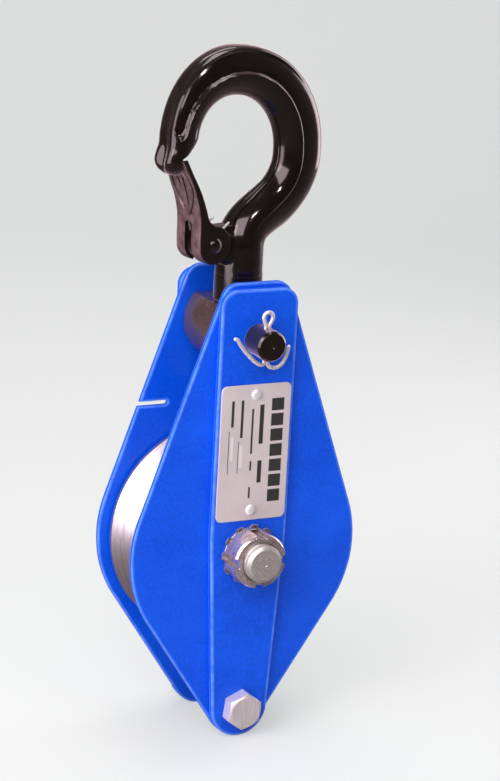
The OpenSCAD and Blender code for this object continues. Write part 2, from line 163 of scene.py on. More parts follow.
def bevel_levels(y0, y1, bev, seg=3, margin=1.0):
    """(inset, depth, edge mark) rings for a slab with rounded rims."""
    t = [math.radians(90 * i / seg) for i in range(seg + 1)]
    front = [(bev * (1 - math.sin(a)), y0 + bev * (1 - math.cos(a)), 1.0) for a in t]
    back = [(i, y0 + y1 - y, e) for i, y, e in reversed(front)]
    mid = [(0, y0 + bev + (y1 - y0 - 2 * bev) * k, 0.0) for k in (0.25, 0.75)]
    ends = bev + margin
    return [(ends, y0, 0.0)] + front + mid + back + [(ends, y1, 0.0)]


def walls(rows, n, base=0):
    """Quads between neighbouring rings of n points."""
    faces = []
    for j in range(rows - 1):
        for i in range(n):
            a, b = base + j * n + i, base + j * n + (i + 1) % n
            faces.append((a, b, b + n, a + n))
    return faces


def caps(parts):
    """Triangles over a flat end. parts holds (first index, loop) for the outline, then the holes."""
    index = [base + i for base, loop in parts for i in range(len(loop))]
    tris = tessellate_polygon([[Vector((x, z, 0)) for x, z in loop] for _, loop in parts])
    return [tuple(index[i] for i in t) for t in tris]


def bar_faces(rows, n):
    """Quads between rings, and one face over each end."""
    return walls(rows, n) + [tuple(range(n - 1, -1, -1)), tuple((rows - 1) * n + i for i in range(n))]


def slab(name, loops, y0, y1, bev, mat, body, nodes=(), slot=None, hole_bev=None, warp=None):
    """A plate between depths y0 and y1. loops[0] is the outline and the rest are holes."""
    verts, faces, edge, first, last = [], [], [], [], []
    for k, loop in enumerate(loops):
        loop = turned(clean(loop), k == 0)
        b = bev if k == 0 or hole_bev is None else hole_bev
        margin = 1.0 if k == 0 else 0.5
        levels = bevel_levels(y0, y1, b, margin=min(margin, 0.3 * (y1 - y0) + 0.4))
        base, n, rows = len(verts), len(loop), len(levels)
        for d, y, e in levels:
            for x, z in inset(loop, d):
                verts.append(warp((x, y, z)) if warp else (x, y, z))
                edge.append(e)
        faces += walls(rows, n, base)
        first.append((base, inset(loop, levels[0][0])))
        last.append((base + (rows - 1) * n, inset(loop, levels[-1][0])))
    faces += caps(first) + caps(last)
    return piece(name, verts, faces, mat, body, nodes, slot, edge=edge)


def rounded(pts, radii, seg=5):
    """A closed polygon with its corners rounded."""
    out = []
    n = len(pts)
    radii = radii if isinstance(radii, (list, tuple)) else [radii] * n
    for i in range(n):
        p, a, b = (np.array(pts[j % n], float) for j in (i, i - 1, i + 1))
        r = radii[i]
        u, v = a - p, b - p
        lu, lv = np.linalg.norm(u), np.linalg.norm(v)
        u, v = u / lu, v / lv
        half = math.acos(max(-1, min(1, float(u @ v)))) / 2
        if r <= 0 or half > math.radians(88):
            out.append(tuple(p))
            continue
        t = min(r / math.tan(half), 0.49 * lu, 0.49 * lv)
        r = t * math.tan(half)
        c = p + (u + v) / np.linalg.norm(u + v) * (r / math.sin(half))
        s, e = p + u * t - c, p + v * t - c
        a0 = math.atan2(s[1], s[0])
        da = (math.atan2(e[1], e[0]) - a0 + math.pi) % (2 * math.pi) - math.pi
        for k in range(seg + 1):
            q = a0 + da * k / seg
            out.append((c[0] + r * math.cos(q), c[1] + r * math.sin(q)))
    return out


def supported(prof, gap=0.22):
    """Adds points close to the corners of a profile, so that smooth shading stays flat between them."""
    out = []
    n = len(prof)
    for i in range(n):
        p, q = np.array(prof[i], float), np.array(prof[(i + 1) % n], float)
        out.append(tuple(p))
        d = np.linalg.norm(q - p)
        if d > 3 * gap:
            out.append(tuple(p + (q - p) * gap / d))
            out.append(tuple(q - (q - p) * gap / d))
    return out


def lathe(name, prof, mat, body, nodes=(), slot=None, n=160, z0=0.0, **kw):
    """Turns a closed (radius, depth) profile about the Y line at height z0."""
    prof = clean(supported(clean(prof)))
    verts, faces = [], []
    m = len(prof)
    for j in range(n):
        a = 2 * math.pi * j / n
        for r, y in prof:
            verts.append((r * math.cos(a), y, z0 + r * math.sin(a)))
    for j in range(n):
        for i in range(m):
            a, b = j * m + i, j * m + (i + 1) % m
            c, d = ((j + 1) % n) * m + (i + 1) % m, ((j + 1) % n) * m + i
            faces.append((a, b, c, d))
    return piece(name, verts, faces, mat, body, nodes, slot, **kw)


def stack(name, levels, mat, body, nodes=(), slot=None, hole=None, **kw):
    """Joins equal loops at rising depths, [(loop, y)], round an optional (x, z, radius, bevel) hole."""
    columns = [levels]
    if hole:
        cx, cz, r, b = hole
        y0, y1 = levels[0][1], levels[-1][1]
        turn = np.linspace(0, 2 * math.pi, 64, endpoint=False)
        circle = lambda q: [(cx + q * math.cos(t), cz + q * math.sin(t)) for t in turn]
        columns.append([(circle(r + b), y0), (circle(r), y0 + b), (circle(r), y1 - b), (circle(r + b), y1)])
    verts, faces, first, last = [], [], [], []
    for column in columns:
        base, n, rows = len(verts), len(column[0][0]), len(column)
        for loop, y in column:
            verts += [(x, y, z) for x, z in loop]
        faces += walls(rows, n, base)
        first.append((base, column[0][0]))
        last.append((base + (rows - 1) * n, column[-1][0]))
    faces += caps(first) + caps(last)
    return piece(name, verts, faces, mat, body, nodes, slot, **kw)


def tube(path, radius, n=20, flat=1.0):
    """Vertices and faces of a round bar along a path, with domed ends."""
    p = np.asarray(path, float)
    t = np.gradient(p, axis=0)
    t /= np.linalg.norm(t, axis=1)[:, None]
    rad = np.broadcast_to(np.asarray(radius, float), (len(p),)).copy()
    up = np.array([0, 1.0, 0]) if abs(t[0][1]) < 0.9 else np.array([1.0, 0, 0])
    verts, rings = [], []
    for k in (3, 2, 1):
        q = math.radians(90 - 26 * k)
        rings.append((p[0] - t[0] * rad[0] * math.cos(q), t[0], rad[0] * math.sin(q)))
    rings += [(p[i], t[i], rad[i]) for i in range(len(p))]
    for k in (1, 2, 3):
        q = math.radians(90 - 26 * k)
        rings.append((p[-1] + t[-1] * rad[-1] * math.cos(q), t[-1], rad[-1] * math.sin(q)))
    for c, d, r in rings:
        u = up - d * (up @ d)
        u /= np.linalg.norm(u)
        up = u
        v = np.cross(d, u)
        for i in range(n):
            a = 2 * math.pi * i / n
            verts.append(tuple(c + u * r * flat * math.cos(a) + v * r * math.sin(a)))
    return verts, bar_faces(len(rings), n)


def smooth_path(pts, per=8):
    """A Catmull-Rom curve through the points."""
    p = [np.array(q, float) for q in pts]
    p = [2 * p[0] - p[1]] + p + [2 * p[-1] - p[-2]]
    out = []
    for a, b, c, d in zip(p, p[1:], p[2:], p[3:]):
        slope, bend, twist = c - a, 2 * a - 5 * b + 4 * c - d, 3 * b - a - 3 * c + d
        for k in range(per):
            t = k / per
            out.append(0.5 * (2 * b + slope * t + bend * t * t + twist * t ** 3))
    out.append(p[-2])
    return out


def swing(v):
    """Hook-plane coordinates to the row frame: the hook stands turned about its shank."""
    v = np.asarray(v, float)
    c, s = math.cos(SWING), math.sin(SWING)
    return np.stack([v[:, 0] * c - v[:, 1] * s, v[:, 0] * s + v[:, 1] * c, v[:, 2]], 1)


def cut(ob, tool, how="DIFFERENCE"):
    """Applies a boolean with a throw-away tool object."""
    mod = ob.modifiers.new("cut", "BOOLEAN")
    mod.operation = how
    mod.solver = "EXACT"
    mod.object = tool
    dg = bpy.context.evaluated_depsgraph_get()
    me = bpy.data.meshes.new_from_object(ob.evaluated_get(dg))
    ob.modifiers.clear()
    old = ob.data
    ob.data = me
    bpy.data.meshes.remove(old)
    bpy.data.objects.remove(tool)
    return ob


def tool(verts, faces):
    """A throw-away object for cut()."""
    me = bpy.data.meshes.new("tool")
    me.from_pydata([tuple(v) for v in np.asarray(verts, float) * MM], [], faces)
    bm = bmesh.new()
    bm.from_mesh(me)
    bmesh.ops.remove_doubles(bm, verts=bm.verts, dist=2e-7)
    bmesh.ops.recalc_face_normals(bm, faces=bm.faces)
    bm.to_mesh(me)
    bm.free()
    ob = bpy.data.objects.new("tool", me)
    bpy.context.scene.collection.objects.link(ob)
    return ob


def prism(loop, y0, y1, local=False):
    """Vertices and faces of a straight slab from a closed (x, z) loop."""
    loop = turned(clean(loop), True)
    n = len(loop)
    verts = [(x, y0, z) for x, z in loop] + [(x, y1, z) for x, z in loop]
    faces = walls(2, n) + caps([(0, loop)]) + caps([(n, loop)])
    return (swing(verts) if local else verts), faces


# ---------------------------------------------------------------- materials
class Nodes:
    """Small helper for writing node materials."""

    def __init__(self, name, world=None):
        self.mat = world or bpy.data.materials.new(name)
        self.mat.use_nodes = True
        self.t = self.mat.node_tree
        self.p = self.t.nodes["Background" if world else "Principled BSDF"]
        self.co = self.t.nodes.new("ShaderNodeTexCoord").outputs["Generated" if world else "Object"]

    def put(self, socket, value):
        s = self.p.inputs[socket]
        if hasattr(value, "node"):
            self.t.links.new(value, s)
        else:
            s.default_value = value

    def link(self, a, b):
        if hasattr(a, "node"):
            self.t.links.new(a, b)
        else:
            b.default_value = a

    def noise(self, scale, detail=3, rough=0.5, vec=None):
        n = self.t.nodes.new("ShaderNodeTexNoise")
        n.inputs["Scale"].default_value = scale
        n.inputs["Detail"].default_value = detail
        n.inputs["Roughness"].default_value = rough
        self.t.links.new(vec if vec is not None else self.co, n.inputs["Vector"])
        return n.outputs["Fac"]

    def ramp(self, fac, stops):
        n = self.t.nodes.new("ShaderNodeValToRGB")
        e = n.color_ramp.elements
        while len(e) < len(stops):
            e.new(0.5)
        for el, (pos, col) in zip(e, stops):
            el.position = pos
            el.color = (*col, 1) if hasattr(col, "__len__") else (col, col, col, 1)
        self.t.links.new(fac, n.inputs["Fac"])
        return n.outputs["Color"]

    def math(self, op, a, b=0.0, c=0.0, clamp=False):
        n = self.t.nodes.new("ShaderNodeMath")
        n.operation = op
        n.use_clamp = clamp
        for i, v in enumerate((a, b, c)):
            self.link(v, n.inputs[i])
        return n.outputs[0]

    def add(self, a, b):
        return self.math("ADD", a, b)

    def sub(self, a, b):
        return self.math("SUBTRACT", a, b)

    def mul(self, a, b):
        return self.math("MULTIPLY", a, b)

    def step(self, fac, low, high):
        """0 up to low, 1 from high."""
        return self.ramp(fac, [(low, 0.0), (high, 1.0)])

    def mix(self, fac, a, b):
        n = self.t.nodes.new("ShaderNodeMix")
        n.data_type = "RGBA"
        self.link(fac, n.inputs[0])
        for v, s in ((a, n.inputs[6]), (b, n.inputs[7])):
            self.link((*v, 1) if isinstance(v, tuple) and len(v) == 3 else v, s)
        return n.outputs[2]

    def split(self, vec=None):
        n = self.t.nodes.new("ShaderNodeSeparateXYZ")
        self.t.links.new(vec if vec is not None else self.co, n.inputs[0])
        return n.outputs

    def join(self, x, y, z):
        n = self.t.nodes.new("ShaderNodeCombineXYZ")
        for i, v in enumerate((x, y, z)):
            self.link(v, n.inputs[i])
        return n.outputs[0]

    def scaled(self, x, y, z):
        n = self.t.nodes.new("ShaderNodeMapping")
        n.inputs["Scale"].default_value = (x, y, z)
        self.t.links.new(self.co, n.inputs["Vector"])
        return n.outputs[0]

    def polar(self):
        """(radius, depth, angle) about the Y axis, in metres and radians."""
        x, y, z = self.split()
        r = self.math("SQRT", self.add(self.mul(x, x), self.mul(z, z)))
        return r, y, self.math("ARCTAN2", z, x)

    def edge(self):
        n = self.t.nodes.new("ShaderNodeAttribute")
        n.attribute_name = "edge"
        return n.outputs["Fac"]

    def bump(self, *layers):
        """layers: (height, strength, distance in mm), stacked."""
        last = None
        for h, s, d in layers:
            n = self.t.nodes.new("ShaderNodeBump")
            n.inputs["Strength"].default_value = s
            n.inputs["Distance"].default_value = d * MM
            self.t.links.new(h, n.inputs["Height"])
            if last:
                self.t.links.new(last, n.inputs["Normal"])
            last = n.outputs["Normal"]
        self.t.links.new(last, self.p.inputs["Normal"])
        return last


def paint(name, base, lift, rough, coat, peel, rim_highlight_col=None, coarse=0.0, tint=None, spec=0.4, sheen=0.0):
    """Enamel: slow colour drift, flecks, orange peel, a painted highlight along the rims and a sheen along
    the outline.
    """
    m = Nodes(name)
    drift = m.noise(28, 4, 0.6)
    fine = m.noise(620, 3, 0.6)
    col = m.mix(m.step(drift, 0.35, 0.7), base, lift)
    fleck = tuple(min(1, c * 1.45 + 0.001) for c in lift)
    col = m.mix(m.mul(m.step(fine, 0.42, 0.72), 0.35), col, fleck)
    # painted highlight: a lighter colour along the bevelled rims, broken up by noise
    if rim_highlight_col:
        rim_highlight = m.mul(m.edge(), m.ramp(m.noise(160, 4, 0.7), [(0.3, 0.35), (0.62, 1.0)]))
        col = m.mix(m.mul(rim_highlight, 0.55), col, rim_highlight_col)
    m.put("Base Color", col)
    m.put("Roughness", m.add(m.mul(m.noise(60, 4), 0.16), rough - 0.08))
    m.put("Coat Weight", coat)
    m.put("Coat Roughness", 0.05)
    m.put("Specular IOR Level", spec)
    if tint:
        m.put("Specular Tint", (*tint, 1))
        m.put("Coat Tint", (*tint, 1))
    if sheen:
        m.put("Sheen Weight", sheen)
        m.put("Sheen Roughness", 0.3)
        m.put("Sheen Tint", (1.0, 0.74, 0.80, 1))
    layers = [(m.noise(900, 2, 0.4), peel, 0.25), (m.noise(140, 2, 0.4), peel * 0.7, 0.8)]
    if coarse:
        layers.append((m.noise(55, 4, 0.6), coarse, 1.6))
    m.bump(*layers)
    return m.mat


def metal(name, base, dark, rough, lines="plain", bump=0.12, spots=0.0, freq=9000, warm=None, metallic=1.0):
    """Bare or plated metal: turning rings, brushing or a speckled surface."""
    m = Nodes(name)
    if lines == "turned":
        r, y, a = m.polar()
        grain = m.noise(1.0, 3, 0.65, m.join(m.mul(r, freq), m.mul(y, freq), m.mul(a, 0.9)))
        soft = m.noise(1.0, 2, 0.5, m.join(m.mul(r, freq / 9), m.mul(y, freq / 9), m.mul(a, 1.6)))
    elif lines == "brushed":
        grain = m.noise(1.0, 3, 0.6, m.scaled(freq, freq, freq / 40))
        soft = m.noise(1.0, 3, 0.5, m.scaled(freq / 12, freq / 12, freq / 90))
    else:
        grain = m.noise(1400, 4, 0.7)
        soft = m.noise(160, 4, 0.6)
    col = m.mix(m.step(soft, 0.3, 0.72), base, dark)
    col = m.mix(m.mul(m.step(grain, 0.35, 0.75), 0.35), col, dark)
    if warm:
        col = m.mix(m.mul(m.step(m.noise(90, 5, 0.7), 0.45, 0.7), 0.5), col, warm)
    if spots:
        dots = m.step(m.noise(620, 2, 0.5), 0.60, 0.68)
        col = m.mix(m.mul(dots, spots), col, tuple(c * 0.35 for c in dark))
    m.put("Base Color", col)
    m.put("Metallic", metallic)
    m.put("Roughness", m.add(m.mul(soft, 0.22), rough - 0.1))
    m.bump((grain, bump, 0.05), (m.noise(240, 3), 0.08, 0.3))
    return m.mat


PINK = (1.0, 0.84, 0.89)
# the light blue last colour is a painted highlight along the plates' rims
BLUE = paint("blue_enamel", (0.0012, 0.060, 0.57), (0.002, 0.084, 0.70), 0.34, 0.22, 0.2,
             spec=0.15, rim_highlight_col=(0.17, 0.36, 1.0))
BLACK = paint("hook_enamel", (0.0022, 0.0015, 0.0006), (0.006, 0.0038, 0.002), 0.15, 0.6, 0.05,
              coarse=0.05, tint=PINK, spec=0.3, sheen=0.9)
YOKE = paint("yoke_enamel", (0.036, 0.024, 0.021), (0.085, 0.060, 0.056), 0.24, 0.6, 0.06,
             coarse=0.05, tint=PINK)
ZINC = metal("sheave_zinc", (0.80, 0.73, 0.79), (0.50, 0.42, 0.48), 0.38, "turned", bump=0.35, freq=5200)
AXLE = metal("turned_axle", (0.74, 0.69, 0.67), (0.42, 0.37, 0.35), 0.42, "turned",
             bump=0.05, freq=14000, metallic=0.7)
NUT = metal("nut_zinc", (0.74, 0.64, 0.66), (0.38, 0.30, 0.31), 0.22,
            bump=0.3, spots=0.7, warm=(0.50, 0.36, 0.35), metallic=0.75)
TAB = metal("washer_zinc", (0.74, 0.68, 0.74), (0.42, 0.37, 0.42), 0.24, bump=0.15, spots=0.3, metallic=0.8)
WIRE = metal("bright_wire", (0.95, 0.88, 0.90), (0.74, 0.66, 0.68), 0.28, bump=0.08, metallic=0.6)
BOLT = metal("bolt_zinc", (0.92, 0.85, 0.86), (0.70, 0.62, 0.63), 0.36, "brushed", metallic=0.55)
STEEL = metal("oiled_steel", (0.36, 0.34, 0.33), (0.16, 0.15, 0.14), 0.36, bump=0.15)
TUBE = metal("drawn_tube", (0.56, 0.54, 0.54), (0.33, 0.31, 0.31), 0.4, "brushed", bump=0.15, freq=3000)
BRONZE = metal("oiled_bronze", (0.62, 0.42, 0.19), (0.34, 0.21, 0.09), 0.36, "turned", bump=0.15)
RIVET = metal("bright_rivet", (0.97, 0.92, 0.96), (0.82, 0.77, 0.80), 0.35, bump=0.05, metallic=0.5)


def latch_finish():
    """Black lacquer on the flanges, and a painted sheen on the outward face of the web: a lighter,
    noise-mottled purplish colour picked out by the normal.
    """
    m = Nodes("latch_lacquer")
    x, y = m.split(m.t.nodes.new("ShaderNodeTexCoord").outputs["Normal"])[:2]
    # painted light: faces whose normal points outward, the web's face, get the lighter purplish colour, the
    # rest stays black
    facing = m.sub(m.mul(x, -math.cos(SWING)), m.mul(y, math.sin(SWING)))
    ragged = m.mul(m.sub(m.noise(300, 4, 0.7), 0.5), 0.25)
    web = m.step(m.add(facing, ragged), 0.25, 0.7)
    mottle = m.step(m.noise(240, 5, 0.7), 0.35, 0.7)
    lit_web_col = m.mix(mottle, (0.042, 0.024, 0.027), (0.150, 0.096, 0.106))
    m.put("Base Color", m.mix(web, (0.008, 0.005, 0.0045), lit_web_col))
    m.put("Roughness", m.add(m.mul(web, 0.22), m.math("MULTIPLY_ADD", m.noise(90, 3), 0.12, 0.16)))
    m.put("Coat Weight", 0.5)
    m.put("Coat Roughness", 0.12)
    m.put("Coat Tint", (*PINK, 1))
    m.put("Specular Tint", (*PINK, 1))
    m.bump((m.noise(1100, 3), 0.12, 0.1), (m.noise(170, 3), 0.15, 0.5))
    return m.mat


LATCH = latch_finish()


def nameplate_finish():
    """Satin sheet printed with blank rules and solid blocks, no lettering."""
    m = Nodes("nameplate_satin")
    lo, hi = box("nameplate")
    x, _, z = m.split()
    grain = m.noise(1.0, 3, 0.6, m.scaled(7000, 7000, 160))
    col = m.mix(m.step(m.noise(35, 5, 0.6), 0.3, 0.7), (0.68, 0.60, 0.615), (0.57, 0.505, 0.52))
    col = m.mix(m.mul(grain, 0.2), col, (0.34, 0.30, 0.315))
    cx, cz = (lo[0] + hi[0]) / 2, (lo[2] + hi[2]) / 2
    top = (hi[2] - lo[2]) / 2

    def bar(x0, x1, z0, z1):
        """1 inside a rectangle given from the middle of the plate, in millimetres."""
        fx = m.math("COMPARE", x, (cx + (x0 + x1) / 2) * MM, abs(x1 - x0) / 2 * MM)
        fz = m.math("COMPARE", z, (cz + (z0 + z1) / 2) * MM, abs(z1 - z0) / 2 * MM)
        return m.mul(fx, fz)

    block, pitch = 6.6, 8.2
    bars = [bar(9.0, 16.0, top - 8 - pitch * k - block, top - 8 - pitch * k) for k in range(7)]
    # (place across, thickness, start and end down the plate)
    rows = ((3.6, 2.4, 11, 32), (3.6, 2.4, 41, 53), (-1.6, 1.1, 13, 37), (-1.6, 1.1, 41, 46),
            (-1.6, 1.1, 55, 61), (-7.6, 1.5, 8, 28), (-9.0, 0.4, 30, 47), (-13.0, 1.5, 8, 22),
            (-14.6, 0.4, 24, 47))
    bars += [bar(c - w / 2, c + w / 2, top - b, top - a) for c, w, a, b in rows]
    mask = bars[0]
    for b in bars[1:]:
        mask = m.math("MAXIMUM", mask, b)
    stamped = m.math("MAXIMUM", bar(-8.3, -6.6, top - 44, top - 32), bar(-13.6, -11.9, top - 40, top - 27))
    col = m.mix(m.mul(stamped, 0.5), col, (0.85, 0.80, 0.82))
    m.put("Base Color", m.mix(m.mul(mask, 0.97), col, (0.012, 0.011, 0.011)))
    m.put("Metallic", m.sub(0.2, m.mul(mask, 0.2)))
    m.put("Roughness", m.add(m.mul(grain, 0.14), 0.38))
    m.bump((grain, 0.12, 0.05), (m.mul(stamped, m.noise(900, 1)), 0.5, 0.12))
    return m.mat


PLATE = nameplate_finish()


# ---------------------------------------------------------------- cheeks and straps
# height, length and width of the relief slit in the rear cheek
SLIT = (69.6, 15.0, 2.5)


def cheek_loop(slit=None):
    """A round belly with straight flanks up to two corners and down to the bolt's end."""
    corner = 9.0
    cz = TOP - corner
    cx = (R - corner - cz * math.sin(UP)) / math.cos(UP)
    u, d = math.degrees(UP), math.degrees(DOWN)
    pts = arc(0, 0, R, -d, u, 1.5) + arc(cx, cz, corner, u, 90, 6) + arc(-cx, cz, corner, 90, 180 - u, 6)
    if slit:
        z, length, w = slit
        edge = lambda h: -(R - h * math.sin(UP)) / math.cos(UP)
        pts += [(edge(z + w / 2), z + w / 2)]
        pts += arc(edge(z) + length, z, w / 2, 90, -90, 15)
        pts += [(edge(z - w / 2), z - w / 2)]
    pts += arc(0, 0, R, 180 - u, 180 + d, 1.5)
    pts += arc(0, BOLT_Z, BOTTOM_R, 180 + d, 360 - d, 3)
    return pts


def strap_loop():
    """Straight sides above the axle, drawn in to a round end about the bolt."""
    corner, taper_z, r = 9.0, 8.0, BOTTOM_R - 0.2
    t = math.degrees(math.atan((STRAP_HALF - r) / (taper_z - BOLT_Z)))
    cx, cz = STRAP_HALF - corner, STRAP_TOP - corner
    return ([(STRAP_HALF, taper_z)] + arc(cx, cz, corner, 0, 90, 5) + arc(-cx, cz, corner, 90, 180, 5)
            + [(-STRAP_HALF, taper_z)] + arc(0, BOLT_Z, r, 180 + t, 360 - t, 3))


def hole(z, r):
    return arc(0, z, r, 0, 360, 4)


def side_plates():
    axle_front, axle_rear = 10.05, 11.05
    for name, loop, bevel, axle in (
        ("front_cheek", cheek_loop(), 0.55, axle_front),
        ("rear_cheek", cheek_loop(SLIT), 0.55, axle_rear),
        ("front_strap", strap_loop(), 0.8, axle_front),
        ("rear_strap", strap_loop(), 0.8, axle_rear),
    ):
        lo, hi = box(name)
        loops = [loop, hole(0, axle), hole(BOLT_Z, 6.25), hole(TRUNNION_Z, 8.05)]
        slab("visual_" + name, loops, lo[1], hi[1], bevel, BLUE, "side_frame", (name,), "blue_paint", 0.3)


side_plates()


# ---------------------------------------------------------------- sheave
def sheave():
    r, w = box("sheave")[1][:2]
    bore = box("sheave_bush")[1][0]
    mouth, rope, bottom = w - 2.6, 3.8, 47.0
    hub, web = 20.0, 6.0
    sweep = np.radians(np.linspace(-57, 57, 13))
    groove = [(bottom + rope - rope * math.cos(a), rope * math.sin(a)) for a in sweep]
    prof = [(bore, -w), (hub, -w), (hub, -web), (bottom - 5, -web), (bottom, -w), (r, -w), (r, -mouth)]
    radii = [0.5, 0.8, 1.5, 1.5, 0.8, 0.7, 1.0]
    mirrored = [(x, -y) for x, y in reversed(prof)]
    corners = rounded(prof + groove + mirrored, radii + [0] * len(groove) + radii[::-1], 4)
    lathe("visual_sheave", corners, ZINC, "sheave", ("sheave",), "sheave_metal", n=256)


sheave()


# ---------------------------------------------------------------- axle, washer, nut
def axle():
    lo, hi = box("axle")
    front, back, strap = lo[1], hi[1], STRAP_B[1][1]
    thread, journal, head = 10, 11, 16
    # centre-drilled end with a chamfer, then the part of the thread that shows
    prof = [(0, front + 0.5), (0.5, front + 0.5), (0.9, front + 0.1), (1.2, front), (8.2, front)]
    prof += [(thread, front + 1.5)]
    y = front + 3.2
    while y < front + 7.5:
        prof += [(thread, y), (thread, y + 0.25), (9.35, y + 0.75), (thread, y + 1.25)]
        y += 1.5
    prof += [(thread, -21), (journal, -21), (journal, strap), (head, strap), (head, back - 1.2)]
    prof += [(14.8, back), (3.0, back), (2.0, back - 1.0), (0, back - 1.0)]
    tip, tail = [0, 0.2, 0.2, 0.1, 0.35, 0.3], [0.2, 0.2, 0.2, 0.4, 0.4, 0.4, 0.2, 0.2, 0]
    radii = tip + [0] * (len(prof) - len(tip) - len(tail)) + tail
    lathe("visual_axle", rounded(prof, radii, 3), AXLE, "side_frame", ("axle",), "axle_metal", n=128)


axle()


def tab_washer():
    y1 = STRAP_F[0][1]
    y0 = y1 - 1.5
    root, tip, count = 14.0, box("tab_washer")[1][0] * 0.99, 11
    # (radius, degrees from the middle of a tooth)
    flank = [(root, 12), (root, 9.2), (root + 0.4, 8.4), (tip - 0.5, 7.2), (tip, 5.8)]
    tooth = [(r, -d) for r, d in flank] + flank[::-1]
    pts = []
    for i in range(count):
        a = (i + 0.5) * 360 / count
        for r, d in tooth:
            t = math.radians(a + d)
            pts.append((r * math.cos(t), r * math.sin(t)))
    dished = lambda p: (p[0], p[1] - 0.8 * max(0.0, math.hypot(p[0], p[2]) - root), p[2])
    slab("visual_tab_washer", [pts, hole(0, 10.1)], y0, y1, 0.22, TAB, "side_frame", ("tab_washer",),
         "washer_metal", warp=dished)
    # one tab bent over into a slot of the nut
    tab = rounded([(-2.2, 12.6), (2.2, 12.6), (2.0, 14.2), (-2.0, 14.2)], 0.3)
    slab("visual_lock_tab", [tab], y0 - 4.0, y0 + 0.5, 0.3, TAB, "side_frame", slot="washer_metal")


tab_washer()


def axle_nut():
    lo, hi = box("axle_nut")
    y0, y1 = lo[1], hi[1]
    r, half, depth = hi[0], 2.6, 2.6
    edge = math.degrees(math.asin(half / r)) + 2.5
    flank = math.sqrt(r * r - half * half)
    side = [(flank - 0.01, half + 0.25), (flank - 0.35, half)]
    side += [(r - depth + 0.4, half), (r - depth, half - 0.4)]
    notch = [(x, -z) for x, z in side] + side[::-1]
    pts = []
    for k in range(4):
        a = 90 * k
        c, s = math.cos(math.radians(a)), math.sin(math.radians(a))
        pts += [(x * c - z * s, x * s + z * c) for x, z in notch]
        pts += arc(0, 0, r, a + edge, a + 90 - edge, 3)
    pts = turned(clean(pts), True)

    def clipped(limit, d=0.0):
        """The outline moved in by d and kept inside a circle, for a coned corner."""
        p = inset(pts, d)
        q = np.linalg.norm(p, axis=1)
        return p * np.minimum(1, limit / q)[:, None]

    levels = [(clipped(13.3, 0.1), y0), (clipped(13.6), y0 + 0.12), (clipped(13.75), y0 + 0.25)]
    levels += [(clipped(r - 0.25), y0 + 1.15), (clipped(r - 0.06), y0 + 1.4), (clipped(r + 1), y0 + 1.7)]
    levels += [(clipped(r + 1), y1 - 1.9), (clipped(r - 0.3), y1 - 1.6), (clipped(r - 1.5, 0.1), y1 - 0.1)]
    levels += [(clipped(r - 1.8, 0.3), y1)]
    stack("visual_axle_nut", levels, NUT, "side_frame", ("axle_nut",), "nut_metal",
          hole=(0, 0, 10.02, 0.9), sharp=28)


axle_nut()


# ---------------------------------------------------------------- yoke and split pins
def yoke():
    r, end, top = box("yoke")[1]
    under = box("hook_thrust_washer")[1][2]
    half, pin = 20.5, 8
    high = math.degrees(math.asin((top - TRUNNION_Z) / r))
    low = math.degrees(math.asin((TRUNNION_Z - under) / r))
    pts = arc(0, TRUNNION_Z, r, -low, high, 4) + arc(0, TRUNNION_Z, r, 180 - high, 180 + low, 4)
    slab("visual_yoke", [pts], -half, half, 1.7, YOKE, "yoke", ("yoke",), "yoke_finish")
    prof = [(0, half - 4), (pin, half - 4), (pin, end - 1.3), (6.9, end), (1.2, end)]
    prof += [(0.5, end - 0.5), (0, end - 0.5)]
    for name, s in (("front", -1), ("rear", 1)):
        outline = rounded([(x, s * y) for x, y in prof], [0, 0, 0.5, 0.5, 0.2, 0.2, 0], 4)
        lathe("visual_trunnion_" + name, outline, BLACK, "yoke", slot="hook_finish", z0=TRUNNION_Z, n=96)


yoke()


def split_pins():
    """A looped head above each trunnion end and two legs bent up round it."""
    depth = STRAP_B[1][1] + 16 * 0.55
    eye = [(0.9, 8.4), (1.2, 10.0), (2.3, 12.0), (2.7, 14.0), (1.8, 15.8), (-0.1, 16.3)]
    eye += [(-1.8, 15.4), (-2.3, 13.6), (-1.7, 11.6), (-0.9, 9.8), (-0.9, 8.4)]
    left = [(-0.9, 8), (-0.9, 0), (-0.9, -8.6), (-1.2, -10.4), (-3.2, -10.7), (-6.2, -8.9)]
    left += [(-9.4, -5.9), (-12.4, -2.7), (-15.0, 0.8), (-16.4, 3.0), (-17.6, 3.5)]
    right = [(0.9, 8), (0.9, 0), (0.9, -8.6), (1.3, -11.2), (3.2, -12.6), (6.4, -12.8)]
    right += [(9.2, -11.0), (11.2, -7.6), (12.2, -4.2), (12.5, -2.4)]
    for name, s in (("front", -1), ("rear", 1)):
        for tag, path in (("eye", eye), ("left", left), ("right", right)):
            if s > 0:
                path = [(-x, z) for x, z in path]
            pts = smooth_path([(x, s * depth, TRUNNION_Z + z) for x, z in path], 6)
            v, f = tube(pts, 1.05, 16, 1.0 if tag == "eye" else 0.85)
            piece("visual_split_pin_%s_%s" % (name, tag), v, f, WIRE, "yoke", ("trunnion_split_pins",),
                  "pin_wire", sharp=60)


split_pins()


# ---------------------------------------------------------------- hook
# centre line in the hook's own plane, from the neck to the nose: (length, turn in degrees) of each run
BASE_Z, NECK_Z = 131.0, 157.4
RUNS = [(NECK_Z - BASE_Z, 0), (17 * math.radians(54), -54), (15.7, 0), (28.5 * math.radians(54), 54),
        (2.4, 0), (41.5 * math.pi / 2, 90), (32 * math.radians(84.5), 84.5), (10, -20), (11, 0)]
# section at the start of each run and at the very end: reach to the bowl side, reach to the back, half depth
INNER = [12.3, 12.3, 11.7, 11.3, 10.9, 10.9, 11.2, 9.4, 4.6, 7.5]
OUTER = [12.3, 12.3, 12.9, 14.6, 16.7, 16.7, 14.05, 9.6, 8.5, 7.6]
DEPTH = [12.3, 12.3, 11.2, 10.4, 10.0, 10.0, 10.0, 9.6, 9.4, 8.6]
